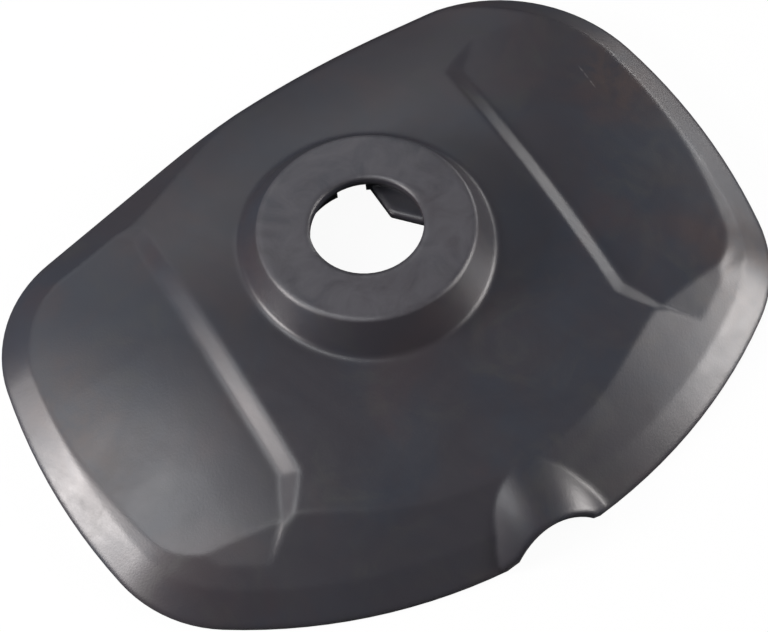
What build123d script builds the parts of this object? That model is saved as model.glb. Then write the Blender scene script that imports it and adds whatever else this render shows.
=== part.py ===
import os
from math import atan, cos, hypot, radians, sin, sqrt, tan

from build123d import *

# Moulding: wall of the shell and the depth below the rim plane that the working solids reach
wall = 3.0
under = 12.0

# Plan outline of the rim: bowed front, bowed ends, rear edge that runs askew on the left
half_width = 119.5
front_y = -107.8
front_radius = 177.0
end_radius = 190.0
end_mid_y = -12.5
rear_y = 74.3
rear_fall = 4.3
rear_skew = 13.5

# Peak of the rear edge and the corner radii, as shares of the half width
rear_x_share = 0.0611
front_corner_share = 0.368
rear_right_share = 0.477
rear_left_share = 0.335
rear_blend_share = 2.427

# Rim: upright lip, then a bevelled band, then the front face between the bevel and the crown
lip = 2.0
bevel_width = 9.3
bevel_slope = 35.5
face_slope = 28.0
face_run = 22.0

# Crown of the middle panel, an arch from front to rear that falls away towards the ends
crown_y = -29.0
crown_z = 22.0
crown_rear_z = -0.34
end_past = 1.5
end_height = 5.6
end_power = 1.6
end_steps = 6

# Sunk end panels: head and foot of the step, depth, where they start to rise, corners and tips
step_head = 55.4
step_foot = 60.8
step_drop = 3.1
rise_front = -48.0
rise_rear = 4.0
corner_front_head = -54.5
corner_front_foot = -51.6
crease_head_x = 66.0
crease_head_y = -65.0
crease_foot_x = 67.7
crease_foot_y = -64.0
level_front_y = -70.0
tip_front_x = 76.2
tip_front_y = -73.0
tip_slope = 23.1
corner_rear_head = 43.0
corner_rear_foot = 40.5
tip_rear_x = 72.0
tip_rear_y = 51.5

# Hub: an upright cone cut off by a plate that leans to the rear, with a round hole
hub_z = 30.3
hub_lean = 8.27
hub_radius = 33.4
hub_flare = 0.58
hub_fillet = 2.0
hub_edge = 0.8
hole_radius = 17.5
plate = 3.6

# Locating collar below the plate, with one slot and one inward lug
collar_radius = 21.3
collar_wall = 3.0
collar_depth = 12.0
slot_from = 62.0
slot_to = 87.0
lug_thick = 3.0
lug_x = 11.1
lug_y = 5.5
lug_out_x = 18.3
lug_out_y = -3.0
lug_corner = 1.5

# Tunnel in the front edge: a rounded bulge lying along the front face, notched in plan
tunnel_x = 1.2
tunnel_half = 17.0
tunnel_proud = 6.2
tunnel_length = 26.5
notch_x = 2.0
notch_half = 14.3
notch_deep = 3.6

rear_x = rear_x_share * half_width
front_corner = front_corner_share * half_width
rear_corner_right = rear_right_share * half_width
rear_corner_left = rear_left_share * half_width
rear_blend = rear_blend_share * half_width
end_line = half_width + end_past
crown_fall = crown_z - crown_rear_z
crown_radius = ((rear_y - crown_y) ** 2 + crown_fall ** 2) / (2.0 * crown_fall)
bevel_tan = tan(radians(bevel_slope))
face_cos, face_sin, face_tan = (g(radians(face_slope)) for g in (cos, sin, tan))
bevel_run = 2.0 * bevel_width
bevel_z = lip + bevel_width * bevel_tan
reach_y0 = front_y - 20.0
reach_y1 = rear_y + 20.0
top = hub_z + 20.0
step_half = tan(atan(step_drop / (step_foot - step_head)) / 2.0)


# Where two circles cross, on the side away from the rear
def cross_circles(a, ra, b, rb):
    way = b - a
    along = (ra * ra - rb * rb + way.length ** 2) / (2.0 * way.length)
    side = Vector(-way.Y, way.X).normalized() * sqrt(ra * ra - along * along)
    ends = [a + way.normalized() * along + side * k for k in (-1.0, 1.0)]
    return min(ends, key=lambda p: p.Y)


# Where a line from a point runs out of a circle
def leave_circle(centre, r, start, way):
    gap = start - centre
    run = gap.dot(way)
    return start + way * (sqrt(run * run + r * r - gap.dot(gap)) - run)


# Rim outline moved inwards; the plain form has a far rear edge and rounds only the front corners
def outline(inset, plain=False):
    fall, skew = radians(rear_fall), radians(rear_skew)
    x_top = rear_x + inset * (1.0 / cos(skew) - 1.0 / cos(fall)) / (tan(skew) + tan(fall))
    y_top = rear_y - inset / cos(fall) - (x_top - rear_x) * tan(fall) + (end_radius / 5.0 if plain else 0.0)
    top_point, r_end = Vector(x_top, y_top), end_radius - inset
    right, left = Vector(half_width - end_radius, end_mid_y), Vector(end_radius - half_width, end_mid_y)
    front_right = cross_circles(Vector(0, front_y + front_radius), front_radius - inset, right, r_end)
    front_left = Vector(-front_right.X, front_right.Y)
    rear_right = leave_circle(right, r_end, top_point, Vector(cos(fall), -sin(fall)))
    rear_left = leave_circle(left, r_end, top_point, Vector(-cos(skew), -sin(skew)))
    edges = ThreePointArc(front_left, (0, front_y + inset), front_right)
    edges += ThreePointArc(front_right, (half_width - inset, end_mid_y), rear_right)
    edges += Polyline(rear_right, top_point, rear_left)
    edges += ThreePointArc(rear_left, (inset - half_width, end_mid_y), front_left)
    face = make_face(edges)
    corners = [(front_right, front_corner), (front_left, front_corner)]
    if not plain:
        corners += [(rear_right, rear_corner_right), (rear_left, rear_corner_left), (top_point, rear_blend)]
    for point, radius in corners:
        face = fillet(face.vertices().sort_by_distance(point)[0], radius - inset).faces()[0]
    return face


# Everything inside the lip, the bevel and the front face, moved inwards by a distance
def envelope(inset):
    turn = lip - inset * (1.0 / cos(radians(bevel_slope)) - bevel_tan)
    run_z = turn + bevel_run * bevel_tan
    foot = extrude(Pos(0, 0, -under) * outline(inset), turn + under)
    band = loft([Pos(0, 0, turn) * outline(inset),
                 Pos(0, 0, run_z) * outline(inset + bevel_run)], ruled=True)
    head = extrude(Pos(0, 0, run_z) * outline(inset + bevel_run), top - run_z)
    face_z = bevel_z - inset / face_cos
    low_z, high_z = face_z - (bevel_width + wall) * face_tan, face_z + face_run * face_tan
    low, high = Pos(0, 0, low_z) * outline(-wall, True), Pos(0, 0, high_z) * outline(bevel_width + face_run, True)
    face = loft([low, high], ruled=True)
    skirt = extrude(low, -2 * under)
    cap = extrude(high, top)
    return (foot + band + head) & (face + skirt + cap)


# Height of the crown moved down by a distance, and how much of it is left towards the ends
def crown_at(y, inset):
    r = crown_radius - inset
    return crown_z - crown_radius + sqrt(r * r - (y - crown_y) ** 2)


def share(x):
    out = max(0.0, abs(x) - step_head) / (end_line - step_head)
    return 1.0 - 0.98 * out ** end_power


def fade(x, z, inset):
    return share(x) * z + (1.0 - share(x)) * (end_height - inset)


# Section of the raised surface at one distance from the middle
def raised_section(x, inset):
    z = lambda y: fade(x, crown_at(y, inset), inset)
    arc = ThreePointArc((reach_y0, z(reach_y0)), (crown_y, z(crown_y)), (reach_y1, z(reach_y1)))
    rest = Polyline((reach_y1, z(reach_y1)), (reach_y1, -2 * under), (reach_y0, -2 * under), (reach_y0, z(reach_y0)))
    return Plane.YZ.offset(x) * make_face(arc + rest)


# Depth of a sunk panel: even in its length, with soft rises to nothing at both ends
def depth(y):
    if y < rise_front:
        return step_drop * (1.0 - ((y - rise_front) / (level_front_y - rise_front)) ** 2)
    if y > rise_rear:
        return step_drop * (1.0 - ((y - rise_rear) / (tip_rear_y - rise_rear)) ** 2)
    return step_drop


# Section of the space above a sunk panel or its step, from the height at each place
def space_section(x, height):
    marks = (level_front_y, rise_front, rise_rear, tip_rear_y)
    places = [marks[0]]
    for a, b in zip(marks, marks[1:]):
        places += [(a + b) / 2.0, b]
    points = [Vector(y, height(y)) for y in places]
    edges = Polyline(points[6], (reach_y1, points[6].Y + step_drop), (reach_y1, 2 * top), (reach_y0, 2 * top),
                     (reach_y0, points[0].Y + step_drop), points[0])
    for i in (0, 2, 4):
        edges += ThreePointArc(*points[i:i + 3])
    return Plane.YZ.offset(x) * make_face(edges)


# Height of the front face above a plan point
def face_at(x, y, inset):
    return bevel_z - inset / face_cos + (front_radius - hypot(x, y - front_y - front_radius) - bevel_width) * face_tan


# Height of the raised surface above a plan point
def skin_at(x, y, inset):
    return min(fade(x, crown_at(y, inset), inset), face_at(x, y, inset))


# Wall plane through three points, facing the sunk panel
def wall_plane(a, b, c):
    normal = (b - a).cross(c - a).normalized()
    return Plane(origin=a, z_dir=normal if normal.Z > 0 else normal * -1.0)


# Spaces cut away above the right-hand sunk panel, one for each wall of its front flare
def sunk_spaces(inset):
    shift = inset * step_half
    at = lambda x, y, drop: Vector(x - shift, y, skin_at(x, y, inset) - drop)
    head = at(step_head, corner_front_head, 0.0)
    foot = at(step_foot, corner_front_foot, depth(corner_front_foot))
    crease_head = at(crease_head_x, crease_head_y, 0.0)
    crease_foot = at(crease_foot_x, crease_foot_y, depth(crease_foot_y))
    tip = at(tip_front_x, tip_front_y, 0.0)
    rear = wall_plane(at(step_head, corner_rear_head, 0.0),
                      at(step_foot, corner_rear_foot, depth(corner_rear_foot)), at(tip_rear_x, tip_rear_y, 0.0))
    run = step_foot - step_head
    start, past = step_head - run - shift, step_foot + 0.5 * run - shift
    bed = lambda x: lambda y: fade(x, crown_at(y, inset) - depth(y), inset)
    fall = lambda x: lambda y: crown_at(y, inset) + (
        bed(step_foot)(y) - crown_at(y, inset)) * (x + shift - step_head) / run
    low = lambda y: bed(end_line)(y) - step_drop
    slope = loft([space_section(start, fall(start)), space_section(past, fall(past)),
                  space_section(end_line, low)], ruled=True)
    stations = [start + (end_line - start) * i / end_steps for i in range(end_steps + 1)]
    floor = loft([space_section(x, bed(x)) for x in stations])
    tip_tan = tan(radians(tip_slope))
    r_tip = hypot(tip_front_x, tip_front_y - front_y - front_radius)
    r_foot, r_top = r_tip + 2.0 * tip.Z / tip_tan, r_tip - top / tip_tan
    sunk_face = Pos(0, front_y + front_radius, -tip.Z) * Cone(
        r_foot, r_top, (r_foot - r_top) * tip_tan, align=(Align.CENTER, Align.CENTER, Align.MIN))
    corner = Pos(step_head - shift, rise_front, 0) * Box(
        end_line, rise_front - reach_y0, top, align=(Align.MIN, Align.MAX, Align.MIN))
    space = split(slope & floor, bisect_by=rear, keep=Keep.TOP) + (corner - sunk_face)
    return [split(space, bisect_by=wall_plane(*three), keep=Keep.TOP)
            for three in ((head, foot, crease_foot), (crease_head, crease_foot, tip))]


# Hub cone moved inwards, cut off by its plate at a depth below the top face
hub_dir = (0, sin(radians(hub_lean)), cos(radians(hub_lean)))
hub_plane = Plane(origin=(0, 0, hub_z), x_dir=(1, 0, 0), z_dir=hub_dir)


def hub_cone(inset, depth):
    side = inset * sqrt(1.0 + hub_flare * hub_flare)
    rise = 2.0 * hub_radius * tan(radians(hub_lean))
    y_axis = -hub_radius * tan(radians(hub_lean)) * hub_flare
    r_low = hub_radius + hub_flare * hub_z - side
    r_high = hub_radius - hub_flare * rise - side
    cone = Cone(r_low, r_high, hub_z + rise, align=(Align.CENTER, Align.CENTER, Align.MIN))
    return split(Pos(0, y_axis) * cone, bisect_by=hub_plane.offset(-depth), keep=Keep.BOTTOM)


# Tunnel bulge, an arc turned about an axis that is parallel to the front face and below it
def tunnel_bulge(inset, front_reach):
    radius = (tunnel_half ** 2 + tunnel_proud ** 2) / (2.0 * tunnel_proud)
    deep = radius - tunnel_proud
    bow = tunnel_length ** 2 / (2.0 * tunnel_proud)
    start = -bevel_width / face_cos
    axis = Plane(origin=(tunnel_x, front_y + bevel_width + start * face_cos + deep * face_sin,
                         bevel_z + start * face_sin - deep * face_cos),
                 x_dir=(0, face_cos, face_sin), z_dir=(1, 0, 0))
    end = 1.08 * tunnel_length
    crest = lambda d: radius - bow + sqrt((bow - inset) ** 2 - d * d)
    arc = ThreePointArc((0, crest(0)), (end / 2.0, crest(end / 2.0)), (end, crest(end)))
    rest = Polyline((end, crest(end)), (end, 0), (-front_reach, 0), (-front_reach, crest(0)), (0, crest(0)))
    return revolve(axis * make_face(arc + rest), axis=Axis(axis.origin, axis.x_dir), revolution_arc=360)


# Skin of the guard moved inwards by a distance
def skin(inset):
    stations = [end_line * i / end_steps for i in range(-end_steps, end_steps + 1)]
    body = loft([raised_section(x, inset) for x in stations])
    for space in sunk_spaces(inset):
        body = body - space - mirror(space, about=Plane.YZ)
    return body & envelope(inset)


# Outer and inner skins; the hub is rounded at its foot and at its top edge
post = extrude(Pos(0, 0, -under) * outline(0.0), top + under)
outer = skin(0.0) + hub_cone(0.0, 0.0) + (tunnel_bulge(0.0, wall) & post)
for pick, radius in ((0, hub_fillet), (-1, hub_edge)):
    hub_side = outer.faces().filter_by(GeomType.CONE).sort_by(SortBy.AREA)[-1]
    outer = fillet(hub_side.edges().filter_by(GeomType.LINE, reverse=True).sort_by(Axis.Z)[pick], radius)
inner = skin(wall) + hub_cone(wall, plate) + tunnel_bulge(wall, 2.0 * bevel_width)
guard = outer - inner

# Flat foot of the rim and the notch in the front edge
below = Box(4 * half_width, 4 * half_width, 4 * under, align=(Align.CENTER, Align.CENTER, Align.MAX))
notch_r = (notch_half ** 2 + notch_deep ** 2) / (2.0 * notch_deep)
notch = Pos(notch_x, front_y + notch_deep - notch_r) * Cylinder(
    notch_r, 2 * bevel_z + 4 * tunnel_proud, align=(Align.CENTER, Align.CENTER, Align.CENTER))
guard = guard - below - notch

# Collar, lug and hole in the frame of the hub
ring = Circle(collar_radius + collar_wall) - Circle(collar_radius)
a0, a1 = radians(slot_from), radians(slot_to)
far_r = 2.0 * (collar_radius + collar_wall)
gap = make_face(Polyline((0, 0), (far_r * cos(a0), far_r * sin(a0)), (far_r * cos(a1), far_r * sin(a1)), (0, 0)))
collar = Pos(0, 0, -plate / 2.0) * extrude(ring - gap, -(collar_depth - plate / 2.0))
lug_r = collar_radius + 0.5 * collar_wall
lug_top = sqrt(lug_r ** 2 - lug_x ** 2)
lug_face = make_face(Polyline(
    (lug_x, lug_top), (lug_x, lug_y), (lug_out_x, lug_out_y), (far_r, lug_out_y), (far_r, lug_top), (lug_x, lug_top)))
lug_face = fillet(lug_face.vertices().sort_by_distance((lug_x, lug_y, 0))[0], lug_corner)
lug = Pos(0, 0, -collar_depth) * extrude(lug_face & Circle(lug_r), lug_thick)
hole = Cylinder(hole_radius, 4 * plate, align=(Align.CENTER, Align.CENTER, Align.CENTER))
guard = guard + hub_plane * collar + hub_plane * lug - hub_plane * hole

# Stand the guard on its rim with the middle of its footprint at the origin
box = guard.bounding_box()
guard = Pos(-(box.min.X + box.max.X) / 2.0, -(box.min.Y + box.max.Y) / 2.0, -box.min.Z) * guard
guard = guard.solids().sort_by(SortBy.VOLUME)[-1]

os.makedirs("parts", exist_ok=True)
guard.label = "guard"
export_step(guard, "parts/guard.step")
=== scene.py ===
import math

import bpy
from mathutils import Matrix, Vector

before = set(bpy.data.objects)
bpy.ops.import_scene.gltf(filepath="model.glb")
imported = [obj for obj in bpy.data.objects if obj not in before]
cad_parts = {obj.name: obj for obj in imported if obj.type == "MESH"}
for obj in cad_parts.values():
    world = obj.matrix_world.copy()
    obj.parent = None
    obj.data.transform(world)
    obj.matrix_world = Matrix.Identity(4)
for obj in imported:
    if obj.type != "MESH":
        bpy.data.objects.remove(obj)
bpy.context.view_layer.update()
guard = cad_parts["guard"]
scene = bpy.context.scene
scene.view_settings.view_transform = "Standard"

# Places on the guard in metres, and the lean of its hub plate
HUB_TOP = (0, 0.017855, 0.0303)
HUB_LEAN = math.radians(-8.27)
BLOOMS = (
    ((-0.103, 0.012, 0.010), (0.020, 0.036, 0.03)),
    ((0.100, -0.048, 0.008), (0.026, 0.034, 0.03)),
    ((0.104, 0.030, 0.008), (0.018, 0.030, 0.03)),
)
SCUFF_AT, SCUFF_SIZE = (0.0944, 0.0358, 0.0106), (0.0004, 0.0066, 0.004)
WRINKLES_AT, WRINKLES_SIZE = (0.1000, -0.036, 0.011), (0.011, 0.017, 0.02)
EDGE_RADIUS = 0.0030

# Tones of the moulding, linear
BASE_BLACK = (0.0290, 0.0275, 0.0335, 1)
BLUE_BLACK = (0.0260, 0.0290, 0.0385, 1)
BROWN_BLACK = (0.0370, 0.0295, 0.0335, 1)
OLIVE_BLACK = (0.0345, 0.0350, 0.0335, 1)
BLOOM_BROWN = (0.0520, 0.0380, 0.0350, 1)
# Painted light: lighter grey laid on the top of the hub plate
PAINTED_PLATE_LIGHT = (0.0640, 0.0620, 0.0700, 1)
SPECK_GREY = (0.30, 0.30, 0.31, 1)
SCUFF_GREY = (0.16, 0.15, 0.15, 1)

# Heights of the relief in metres
GRAIN_HEIGHT = 0.000022
SWELL_HEIGHT = 0.00016
WRINKLE_HEIGHT = 0.00010

# Half width of the floor, and the point that the lamps aim at
FLOOR_HALF = 3.0
LAMP_AIM = Vector((0, 0, 0.015))

# Camera place, its axes and its lens, as fitted to the photograph
CAMERA_AT = (-0.14075, -0.21816, 0.5718)
CAMERA_RIGHT = (0.8562, -0.5167, 0.0072)
CAMERA_UP = (0.4684, 0.7819, 0.4114)
CAMERA_BACK = (-0.2181, -0.3489, 0.9114)
CAMERA_LENS = 93.75


# Node helpers
class Tree:
    def __init__(self, tree):
        self.tree = tree
        tree.nodes.clear()

    def add(self, kind, **inputs):
        node = self.tree.nodes.new(kind)
        self.set(node, **inputs)
        return node

    def set(self, node, **inputs):
        for key, value in inputs.items():
            name = key.replace("_", " ")
            if hasattr(node, key) and name not in node.inputs and key not in node.inputs:
                setattr(node, key, value)
                continue
            socket = node.inputs[name] if name in node.inputs else node.inputs[key]
            self.feed(socket, value)

    def feed(self, socket, value):
        if isinstance(value, bpy.types.NodeSocket):
            self.tree.links.new(value, socket)
        else:
            socket.default_value = value

    def math(self, op, a, b):
        node = self.tree.nodes.new("ShaderNodeMath")
        node.operation = op
        self.feed(node.inputs[0], a)
        self.feed(node.inputs[1], b)
        return node.outputs[0]

    def noise(self, place, scale, detail=3.0, rough=0.55, distort=0.0):
        node = self.add("ShaderNodeTexNoise", Vector=place, Scale=scale, Detail=detail, Roughness=rough,
                        Distortion=distort)
        return node.outputs["Fac"]

    def ramp(self, value, low, high):
        node = self.tree.nodes.new("ShaderNodeMapRange")
        node.interpolation_type = "SMOOTHSTEP"
        node.clamp = True
        self.feed(node.inputs["Value"], value)
        self.feed(node.inputs["From Min"], low)
        self.feed(node.inputs["From Max"], high)
        return node.outputs["Result"]

    def mix(self, fac, a, b):
        node = self.tree.nodes.new("ShaderNodeMix")
        node.data_type = "RGBA"
        self.feed(node.inputs["Factor"], fac)
        self.feed(node.inputs["A"], a)
        self.feed(node.inputs["B"], b)
        return node.outputs["Result"]

    def place(self, place, at=(0, 0, 0), turn=(0, 0, 0), scale=(1, 1, 1)):
        node = self.tree.nodes.new("ShaderNodeMapping")
        node.vector_type = "TEXTURE"
        self.feed(node.inputs["Vector"], place)
        node.inputs["Location"].default_value = at
        node.inputs["Rotation"].default_value = turn
        node.inputs["Scale"].default_value = scale
        return node.outputs["Vector"]

    def reach(self, place):
        node = self.tree.nodes.new("ShaderNodeVectorMath")
        node.operation = "LENGTH"
        self.feed(node.inputs[0], place)
        return node.outputs["Value"]


# Satin black moulding with a mottled bloom, rubbed patches, flow wrinkles, a few specks and a scuff, and
# painted light on the hub plate
def guard_material():
    mat = bpy.data.materials.new("satin_black_moulding")
    mat.use_nodes = True
    t = Tree(mat.node_tree)
    place = t.add("ShaderNodeTexCoord").outputs["Object"]

    # Base tone: cool black with slow drifts to blue, brown and olive
    cool = t.ramp(t.noise(place, 20.0, 5.0, 0.62, 0.6), 0.40, 0.68)
    warm = t.ramp(t.noise(t.place(place, at=(0.31, 0.12, 0.4)), 24.0, 5.0, 0.62, 0.7), 0.46, 0.72)
    dull = t.ramp(t.noise(t.place(place, at=(0.7, 0.5, 0.1)), 52.0, 6.0, 0.68, 0.9), 0.48, 0.74)
    colour = t.mix(cool, BASE_BLACK, BLUE_BLACK)
    colour = t.mix(t.math("MULTIPLY", warm, 0.8), colour, BROWN_BLACK)
    colour = t.mix(t.math("MULTIPLY", dull, 0.45), colour, OLIVE_BLACK)

    # Brown bloom at the two ends and on the front right corner
    for at, size in BLOOMS:
        spot = t.ramp(t.reach(t.place(place, at=at, scale=size)), 1.15, 0.1)
        spot = t.math("MULTIPLY", spot, t.ramp(t.noise(place, 75.0, 5.0, 0.65, 0.8), 0.30, 0.72))
        colour = t.mix(t.math("MULTIPLY", spot, 0.75), colour, BLOOM_BROWN)

    # Painted light: the top of the hub plate made lighter grey, broken up by cloudy noise
    on_hub = t.place(place, at=HUB_TOP, turn=(HUB_LEAN, 0, 0))
    plate = t.add("ShaderNodeSeparateXYZ", Vector=on_hub).outputs["Z"]
    cloud = t.ramp(t.noise(place, 85.0, 5.0, 0.65, 1.2), 0.05, 0.75)
    painted_plate_light = t.math("MULTIPLY", t.ramp(plate, -0.0012, -0.0004), cloud)
    colour = t.mix(painted_plate_light, colour, PAINTED_PLATE_LIGHT)

    # Few pale specks, only in some of the cells
    specks = t.add("ShaderNodeTexVoronoi", Vector=place, Scale=46.0, Randomness=1.0)
    pick = t.add("ShaderNodeSeparateColor", Color=specks.outputs["Color"])
    dots = t.math("MULTIPLY", t.math("LESS_THAN", specks.outputs["Distance"], 0.017),
                  t.math("GREATER_THAN", pick.outputs[0], 0.72))
    colour = t.mix(t.math("MULTIPLY", dots, 0.6), colour, SPECK_GREY)

    # Scuff line on the right-hand panel
    line = t.reach(t.place(place, at=SCUFF_AT, turn=(0, 0, math.radians(-1)), scale=SCUFF_SIZE))
    scuff = t.math("MULTIPLY", t.ramp(line, 1.0, 0.4), t.ramp(t.noise(place, 420.0, 3.0, 0.6), 0.35, 0.62))
    colour = t.mix(t.math("MULTIPLY", scuff, 0.5), colour, SCUFF_GREY)

    # Sheen: satin, rubbed brighter in cloudy patches, with faint fine streaks
    rub = t.noise(t.place(place, at=(0.2, 0.9, 0.3)), 30.0, 6.0, 0.68, 1.0)
    along = t.place(place, turn=(0, 0, math.radians(24)), scale=(0.05, 1.0, 1.0))
    streak = t.noise(along, 26.0, 4.0, 0.6, 0.3)
    rough = t.math("ADD", t.math("MULTIPLY", rub, 0.20), 0.25)
    rough = t.math("ADD", rough, t.math("MULTIPLY", streak, 0.05))
    rough = t.math("ADD", rough, t.math("MULTIPLY", dull, 0.05))

    # Relief: fine grain, slow waviness of the moulding and wrinkles at the right end
    grain = t.math("MULTIPLY", t.noise(place, 1500.0, 2.0, 0.5), GRAIN_HEIGHT)
    swell = t.math("MULTIPLY", t.noise(place, 48.0, 2.0, 0.45), SWELL_HEIGHT)
    height = t.math("ADD", grain, swell)
    near = t.ramp(t.reach(t.place(place, at=WRINKLES_AT, scale=WRINKLES_SIZE)), 1.0, 0.35)
    wave = t.add("ShaderNodeTexWave", Vector=t.place(place, turn=(0, 0, math.radians(-62))), Scale=42.0,
                 Distortion=5.0, Detail=2.0, Detail_Scale=1.2)
    wrinkles = t.math("MULTIPLY", t.math("MULTIPLY", near, wave.outputs["Fac"]), WRINKLE_HEIGHT)
    height = t.math("ADD", height, wrinkles)
    soft = t.add("ShaderNodeBevel", Radius=EDGE_RADIUS)
    soft.samples = 8
    bump = t.add("ShaderNodeBump", Strength=1.0, Distance=1.0, Height=height, Normal=soft.outputs["Normal"])

    shader = t.add("ShaderNodeBsdfPrincipled")
    t.set(shader, Roughness=rough, Normal=bump.outputs["Normal"])
    t.feed(shader.inputs["Base Color"], colour)
    shader.inputs["IOR"].default_value = 1.52
    out = t.add("ShaderNodeOutputMaterial")
    t.feed(out.inputs["Surface"], shader.outputs["BSDF"])
    return mat


guard.data.materials.clear()
guard.data.materials.append(guard_material())


# Pale floor that shows nearly white to the camera, keeps a soft shadow and is dark in reflections
def floor_material():
    mat = bpy.data.materials.new("pale_floor")
    mat.use_nodes = True
    t = Tree(mat.node_tree)
    plain = t.add("ShaderNodeBsdfDiffuse")
    plain.inputs["Color"].default_value = (0.8, 0.8, 0.8, 1)
    glow = t.add("ShaderNodeEmission")
    glow.inputs["Strength"].default_value = 1.0
    dark = t.add("ShaderNodeBsdfDiffuse")
    dark.inputs["Color"].default_value = (0.08, 0.08, 0.085, 1)
    path = t.add("ShaderNodeLightPath")
    base = t.add("ShaderNodeMixShader")
    t.feed(base.inputs[0], path.outputs["Is Glossy Ray"])
    t.feed(base.inputs[1], plain.outputs[0])
    t.feed(base.inputs[2], dark.outputs[0])
    both = t.add("ShaderNodeMixShader")
    t.feed(both.inputs[0], t.math("MULTIPLY", path.outputs["Is Camera Ray"], 0.95))
    t.feed(both.inputs[1], base.outputs[0])
    t.feed(both.inputs[2], glow.outputs[0])
    out = t.add("ShaderNodeOutputMaterial")
    t.feed(out.inputs["Surface"], both.outputs[0])
    return mat


floor_mesh = bpy.data.meshes.new("floor")
corners = [(x * FLOOR_HALF, y * FLOOR_HALF, 0) for x, y in ((-1, -1), (1, -1), (1, 1), (-1, 1))]
floor_mesh.from_pydata(corners, [], [(0, 1, 2, 3)])
floor = bpy.data.objects.new("floor", floor_mesh)
scene.collection.objects.link(floor)
floor_mesh.materials.append(floor_material())

# World: white to the camera, dim grey to everything else
world = bpy.data.worlds.new("studio")
scene.world = world
world.use_nodes = True
w = Tree(world.node_tree)
ray = w.add("ShaderNodeLightPath").outputs["Is Camera Ray"]
dim = w.add("ShaderNodeBackground")
dim.inputs["Color"].default_value = (0.05, 0.052, 0.060, 1)
dim.inputs["Strength"].default_value = 1.0
white = w.add("ShaderNodeBackground")
white.inputs["Color"].default_value = (1, 1, 1, 1)
pick = w.add("ShaderNodeMixShader")
w.feed(pick.inputs[0], ray)
w.feed(pick.inputs[1], dim.outputs[0])
w.feed(pick.inputs[2], white.outputs[0])
w.feed(w.add("ShaderNodeOutputWorld").inputs["Surface"], pick.outputs[0])


# Soft boxes, placed by azimuth from the rear edge towards +X, elevation and distance
def softbox(name, azimuth, elevation, distance, width, height, watts, colour):
    az, el = math.radians(azimuth), math.radians(elevation)
    way = Vector((math.sin(az) * math.cos(el), math.cos(az) * math.cos(el), math.sin(el)))
    data = bpy.data.lights.new(name, "AREA")
    data.shape, data.size, data.size_y = "RECTANGLE", width, height
    data.energy, data.color = watts, colour
    lamp = bpy.data.objects.new(name, data)
    lamp.location = way * distance + LAMP_AIM
    lamp.rotation_euler = (-way).to_track_quat("-Z", "Y").to_euler()
    scene.collection.objects.link(lamp)


softbox("left_strip", -75.0, 21.0, 0.9, 0.30, 0.18, 8.6, (1.0, 0.950, 0.935))
softbox("left_box", -62.0, 58.0, 0.9, 0.42, 0.30, 3.2, (0.97, 0.985, 1.0))
softbox("upper_left_box", -115.0, 66.0, 0.9, 0.20, 0.20, 1.3, (0.97, 0.985, 1.0))
softbox("right_box", 118.0, 17.0, 0.9, 0.50, 0.24, 8.6, (1.0, 0.960, 0.940))
softbox("right_low_box", 72.0, 4.5, 0.9, 0.40, 0.09, 1.6, (1.0, 0.985, 0.975))
softbox("rear_box", 4.0, 34.0, 1.0, 0.80, 0.40, 1.4, (0.96, 0.98, 1.0))

# Camera at the photograph's viewing angle
data = bpy.data.cameras.new("camera")
data.sensor_fit, data.sensor_width, data.lens = "HORIZONTAL", 36.0, CAMERA_LENS
data.clip_start = 0.01
camera = bpy.data.objects.new("camera", data)
turn = Matrix((CAMERA_RIGHT, CAMERA_UP, CAMERA_BACK)).transposed().to_4x4()
camera.matrix_world = Matrix.Translation(CAMERA_AT) @ turn
scene.collection.objects.link(camera)
scene.camera = camera
